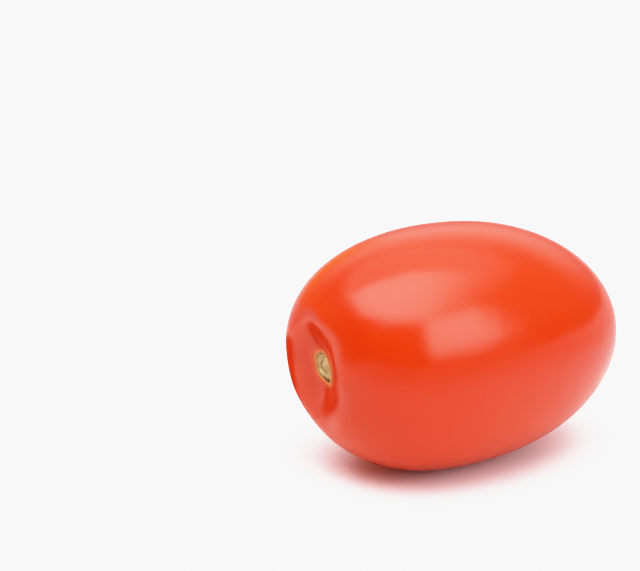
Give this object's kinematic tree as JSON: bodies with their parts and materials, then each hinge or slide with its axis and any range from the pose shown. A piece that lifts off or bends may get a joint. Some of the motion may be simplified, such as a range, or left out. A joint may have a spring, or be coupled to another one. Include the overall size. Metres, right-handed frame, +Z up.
{
  "type": "tomato",
  "caption": "Whole ripe plum tomato without stalk or calyx, an egg-shaped fruit with a shallow stem hollow and corky scar, lying on its side on a small flat spot.",
  "frame": {"origin": "on the ground under the middle of the fruit's bounding box, at the bottom of the flat spot that it rests on", "axes": "+X runs along the fruit's long axis from the stem scar to the blossom end, +Y is sideways, +Z is up"},
  "size_m": [0.0734, 0.0496, 0.0505],
  "materials": {
    "skin": null,
    "stem_scar": "dry corky tissue, tan with a green cast; wood stands in for it"
  },
  "bodies": {
    "root": {"tomato": "skin"}
  },
  "joints": []
}
